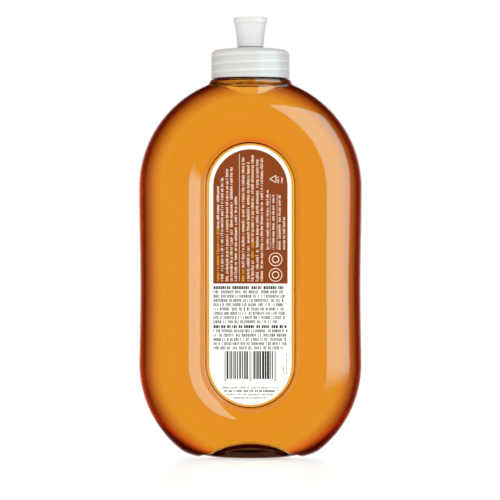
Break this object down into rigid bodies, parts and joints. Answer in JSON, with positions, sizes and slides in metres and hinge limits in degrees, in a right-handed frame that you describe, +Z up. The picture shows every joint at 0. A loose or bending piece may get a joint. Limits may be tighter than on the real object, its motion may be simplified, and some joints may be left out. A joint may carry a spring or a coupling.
{
  "type": "detergent dispenser bottle",
  "caption": "Flat stadium-shaped amber bottle with recessed label panels on both faces, a translucent screw cap and a push-pull nozzle, filled with liquid.",
  "frame": {"origin": "centre of the base, on the surface the bottle stands on, below the neck axis", "axes": "+Z up along the neck axis; X across the wide front; the back label, with its bar code, is on the -Y face and the front label on the +Y face"},
  "size_m": [0.116, 0.047, 0.2288],
  "materials": {
    "bottle_pet": "clear blow-moulded plastic, tinted amber by its contents, very glossy",
    "liner_foam": "white closed-cell foam",
    "cap_plastic": "translucent natural moulded plastic, satin",
    "nozzle_plastic": "translucent white moulded plastic, satin",
    "label_film": "printed white film, satin",
    "liquid": "clear amber liquid"
  },
  "bodies": {
    "bottle": {"bottle": "bottle_pet", "neck_finish": "bottle_pet", "back_label": "label_film", "front_label": "label_film", "detergent": "liquid"},
    "seal": {"cap_liner": "liner_foam"},
    "cap": {"screw_cap": "cap_plastic"},
    "spout_nozzle": {"nozzle": "nozzle_plastic"}
  },
  "joints": [
    {"name": "seal_lift", "type": "slide", "parent": "bottle", "child": "seal", "axis": [0, 0, 1], "range_m": [0, 0.01376]},
    {"name": "cap_turn", "type": "hinge", "parent": "seal", "child": "cap", "pos_m": [0, 0, 0.2], "axis": [0, 0, 1], "range_deg": [0, 1170]},
    {"name": "nozzle_pull", "type": "slide", "parent": "cap", "child": "spout_nozzle", "axis": [0, 0, 1], "range_m": [0, 0.006]}
  ],
  "couplings": [
    {"joint": "seal_lift", "follows": "cap_turn", "m_per_rad": 0.00067323}
  ]
}
